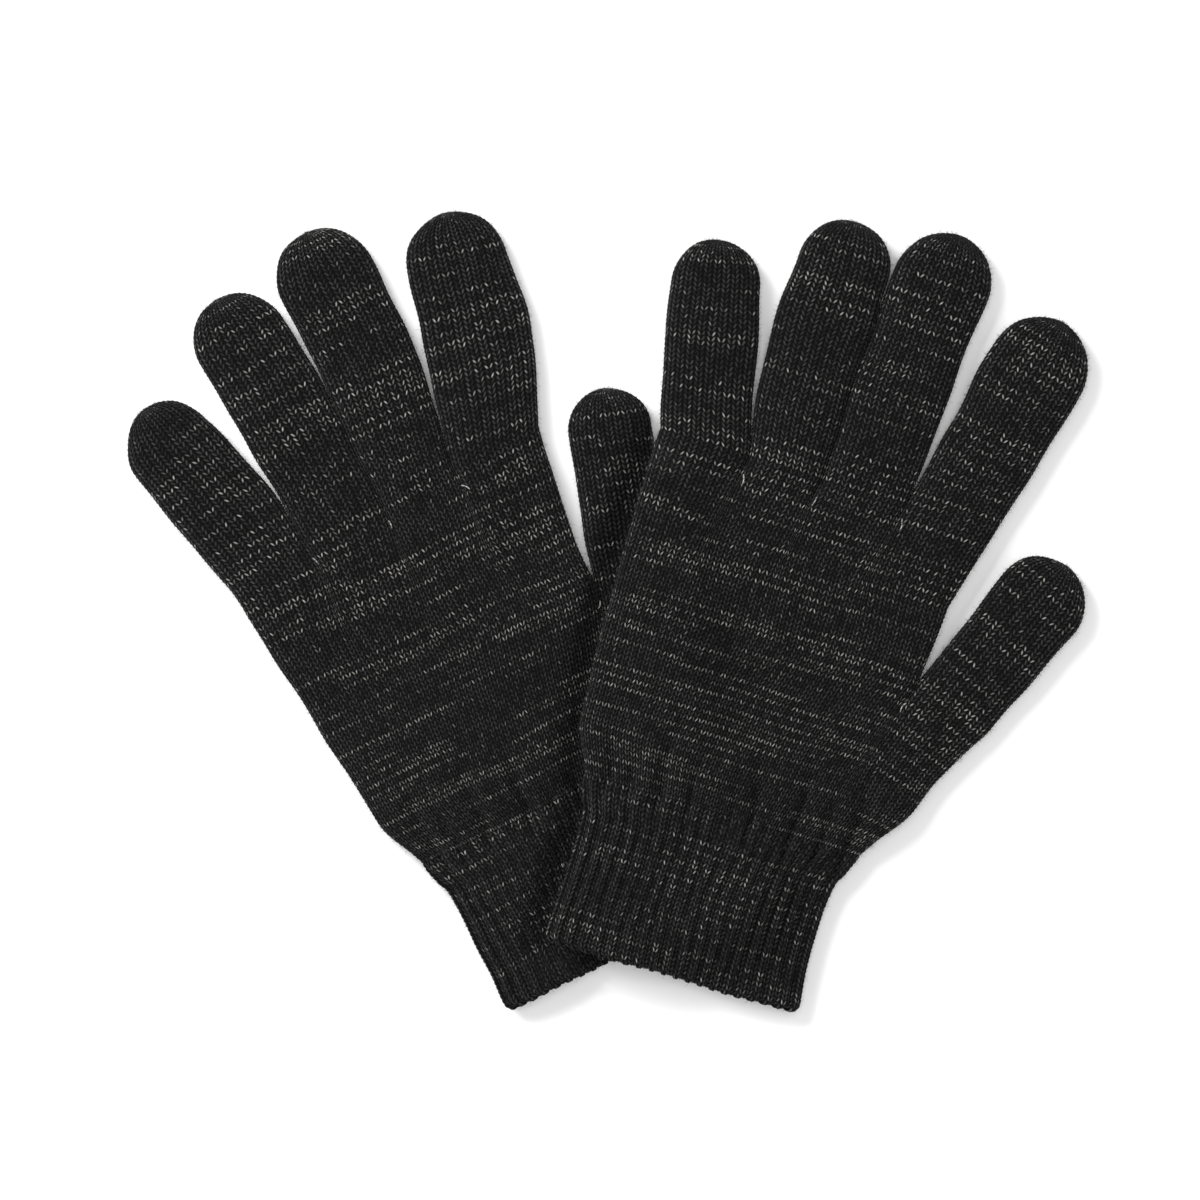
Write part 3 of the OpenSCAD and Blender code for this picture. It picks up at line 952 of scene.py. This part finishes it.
def make_raise(glove, other):
    """How the gloves change each other's height: the right one is raised by the left one
    beneath it, and presses a shallow valley into it along its own edge."""
    if glove.side == "right":
        field = table_field(
            other, lambda far: glove.lift * smooth(1.0 - (far - DRAPE_FLAT) / DRAPE_REACH))
        return lambda row, local: field(row) * smooth(
            (glove.knuckles - local[..., 1]) / DRAPE_END)
    field = table_field(
        other, lambda far: -VALLEY * np.exp(-(((far - VALLEY_PLACE) / VALLEY_WIDTH) ** 2)))
    return lambda row, local: field(row) * np.clip(
        2.0 * (local[..., 2] - glove.fold) / glove.crown, 0.0, 1.0)


# ---------------------------------------------------------------- yarn and its colour

class Nodes:
    """Short names for building a material's nodes."""

    def __init__(self, name):
        self.material = bpy.data.materials.new(name)
        self.material.use_nodes = True
        self.tree = self.material.node_tree
        self.shader = self.tree.nodes["Principled BSDF"]

    def link(self, value, socket):
        if isinstance(value, bpy.types.NodeSocket):
            self.tree.links.new(value, socket)
        else:
            socket.default_value = value

    def math(self, kind, a, b=None, c=None):
        node = self.tree.nodes.new("ShaderNodeMath")
        node.operation = kind
        for socket, value in zip(node.inputs, (a, b, c)):
            if value is not None:
                self.link(value, socket)
        return node.outputs[0]

    def vector(self, x, y, z):
        node = self.tree.nodes.new("ShaderNodeCombineXYZ")
        for socket, value in zip(node.inputs, (x, y, z)):
            self.link(value, socket)
        return node.outputs[0]

    def noise(self, vector, scale, detail=2.0):
        node = self.tree.nodes.new("ShaderNodeTexNoise")
        node.inputs["Scale"].default_value = scale
        node.inputs["Detail"].default_value = detail
        self.link(vector, node.inputs["Vector"])
        return node.outputs["Fac"]

    def white(self, vector):
        node = self.tree.nodes.new("ShaderNodeTexWhiteNoise")
        self.link(vector, node.inputs["Vector"])
        return node.outputs["Value"]

    def range(self, value, low, high, to_low=0.0, to_high=1.0):
        node = self.tree.nodes.new("ShaderNodeMapRange")
        node.interpolation_type = "SMOOTHSTEP"
        for socket, v in zip(node.inputs, (value, low, high, to_low, to_high)):
            self.link(v, socket)
        return node.outputs[0]

    def mix(self, share, a, b):
        node = self.tree.nodes.new("ShaderNodeMix")
        node.data_type = "RGBA"
        self.link(share, node.inputs["Factor"])
        self.link(a, node.inputs[6])
        self.link(b, node.inputs[7])
        return node.outputs[2]


# Near-black painted shade for the gaps between a stitch's legs and for the legs' dipped ends
GAP_SHADE_PAINTED = (0.0006, 0.0006, 0.0006, 1)
BLACK_YARN = (0.0300, 0.0308, 0.0302, 1)
GREY_YARN = (0.35, 0.342, 0.32, 1)


def knit_material(name, ribbed):
    """Black yarn, plated in stretches with a grey thread that shows in single stitches."""
    n = Nodes(name)
    attribute = n.tree.nodes.new("ShaderNodeAttribute")
    attribute.attribute_name = "stitch"
    split = n.tree.nodes.new("ShaderNodeSeparateXYZ")
    n.link(attribute.outputs["Vector"], split.inputs[0])
    wale, course, around = split.outputs
    a = n.math("FRACT", wale)
    b = n.math("FRACT", course)
    row = n.math("FLOOR", course)
    # the two legs of a stitch; between the legs and towards their ends the colour is painted shade
    off = n.math("ABSOLUTE", n.math("SUBTRACT", a, 0.5))
    middle = n.math("MULTIPLY_ADD", b, LEG_SPREAD, LEG_START)
    leg = n.math("ABSOLUTE", n.math("SUBTRACT", off, middle))
    legs = n.range(leg, 0.17, 0.03)
    swell = n.math("SINE", n.math("MULTIPLY", b, math.pi))
    # painted shade: each leg darkens towards its ends, where it dips under its neighbours
    leg_end_shading = n.math("POWER", swell, 0.6)
    # the yarn runs round and round the tube, grey for a stretch and then black for a longer
    # one, and shows most on every second course
    run = n.math("MULTIPLY_ADD", row, around, wale)
    streak = n.noise(n.vector(n.math("MULTIPLY", run, 0.045), 0.37, 0.71), 1.0, 1.5)
    second = n.math("MULTIPLY", n.math("FRACT", n.math("MULTIPLY", row, 0.5)), 0.26)
    cluster = n.noise(
        n.vector(n.math("MULTIPLY", wale, 0.03), n.math("MULTIPLY", course, 0.11), around),
        1.0, 1.0,
    )
    level = n.math("SUBTRACT", streak, second)
    level = n.math("MULTIPLY_ADD", n.math("SUBTRACT", cluster, 0.5), 0.45, level)
    grey = n.range(level, 0.465, 0.53)
    # each leg shows more or less of the grey thread
    half = n.math("FLOOR", n.math("MULTIPLY", wale, 2.0))
    glint = n.math("POWER", n.range(n.white(n.vector(half, row, around)), 0.2, 1.1), 1.4)
    stray = n.range(n.white(n.vector(half, row, 9.0)), 0.93, 0.99, 0.0, 0.3)
    shade = n.math("MAXIMUM", n.math("MULTIPLY", grey, glint), stray)
    dash = n.math("MULTIPLY", n.range(leg, 0.12, 0.04), n.math("POWER", swell, 1.5))
    fibre = n.noise(
        n.vector(n.math("MULTIPLY", wale, 11.0), n.math("MULTIPLY", course, 3.0), around),
        2.0, 3.0,
    )
    # and turns up more or less of its own light side
    turned = n.range(n.white(n.vector(half, row, 5.0)), 0.0, 1.0, 0.35, 1.65)
    lit = n.math("MULTIPLY", turned, n.range(fibre, 0.2, 0.8, 0.35, 1.0))
    strand = n.math("MULTIPLY", n.math("MULTIPLY", legs, leg_end_shading), lit)
    # painted shade: off the legs and at their ends the yarn's black gives way to a near-black
    dark = n.mix(strand, GAP_SHADE_PAINTED, BLACK_YARN)
    if ribbed:
        valley = n.math("FRACT", n.math("MULTIPLY", n.math("FLOOR", wale), 0.5))
        dash = n.math("MULTIPLY", dash, n.range(valley, 0.0, 0.5, 1.0, 0.45))
    n.link(n.mix(n.math("MULTIPLY", shade, dash), dark, GREY_YARN), n.shader.inputs["Base Color"])
    n.shader.inputs["Roughness"].default_value = 0.82
    n.shader.inputs["Specular IOR Level"].default_value = 0.08
    n.shader.inputs["Sheen Weight"].default_value = 0.05
    n.shader.inputs["Sheen Roughness"].default_value = 0.5
    n.shader.inputs["Sheen Tint"].default_value = (0.8, 0.8, 0.82, 1)
    bump = n.tree.nodes.new("ShaderNodeBump")
    bump.inputs["Strength"].default_value = 0.7
    bump.inputs["Distance"].default_value = 0.0003
    n.link(n.math("MULTIPLY_ADD", fibre, 0.5, legs), bump.inputs["Height"])
    n.link(bump.outputs["Normal"], n.shader.inputs["Normal"])
    return n.material


def thread_material(name, dark, light, pitch):
    """A wound thread: a fine mottled grain of two shades."""
    n = Nodes(name)
    place = n.tree.nodes.new("ShaderNodeTexCoord")
    grain = n.noise(place.outputs["Object"], pitch, 3.0)
    n.link(n.mix(n.range(grain, 0.35, 0.65), dark, light), n.shader.inputs["Base Color"])
    n.shader.inputs["Roughness"].default_value = 0.75
    n.shader.inputs["Specular IOR Level"].default_value = 0.3
    bump = n.tree.nodes.new("ShaderNodeBump")
    bump.inputs["Strength"].default_value = 0.6
    bump.inputs["Distance"].default_value = 0.0001
    n.link(grain, bump.inputs["Height"])
    n.link(bump.outputs["Normal"], n.shader.inputs["Normal"])
    return n.material


# ---------------------------------------------------------------- build

def crotch_lines(glove):
    """Where the fingers' roots meet, along the knuckle line."""
    edges = [glove.cut(f + "_knuckle", glove.knuckles + EDGE_STEP) for f in FINGERS]
    shared = [(edges[k][1] + edges[k + 1][0]) / 2.0 for k in range(3)]
    bounds = [edges[0][0]] + shared + [edges[3][1]]
    return {f: (bounds[k], bounds[k + 1]) for k, f in enumerate(FINGERS)}


def make_glove(glove, plain, rib, elastic, fibre, tail):
    glove.fibre = fibre
    glove.crotches = crotch_lines(glove)
    wales = []
    for finger in FINGERS:
        tip = glove.mesh(finger + "_tip")[0]
        left, right = glove.cut(finger + "_tip", tip[:, 1].max() - 14.0)
        wales.append(int(round((right - left) / WALE)))
    thumb_wales = wales[0]
    make_finger_trunk(glove, wales, plain)
    make_thumb_trunk(glove, wales, thumb_wales, plain)
    for finger, count in zip(FINGERS + ("thumb",), wales + [thumb_wales]):
        make_finger(glove, finger, count, plain)
    make_cuff(glove, rib)
    make_elastic(glove, elastic)
    make_tails(glove, tail)


make_camera()
make_light()
make_floor()
bpy.context.scene.view_settings.view_transform = "Standard"
PLAIN = knit_material("plain_knit_yarn", False)
RIB = knit_material("rib_knit_yarn", True)
ELASTIC = thread_material("wound_elastic", (0.10, 0.10, 0.09, 1), (0.34, 0.34, 0.31, 1), 2500.0)
FIBRE = thread_material("loose_fibre", (0.008, 0.008, 0.008, 1), (0.05, 0.05, 0.05, 1), 300.0)
TAIL = thread_material("tail_yarn", (0.08, 0.08, 0.075, 1), (0.42, 0.41, 0.38, 1), 1600.0)
gloves = [Glove(side) for side in SIDES]
for g, other_glove in zip(gloves, gloves[::-1]):
    g.raise_by = make_raise(g, other_glove)
    make_glove(g, PLAIN, RIB, ELASTIC, FIBRE, TAIL)
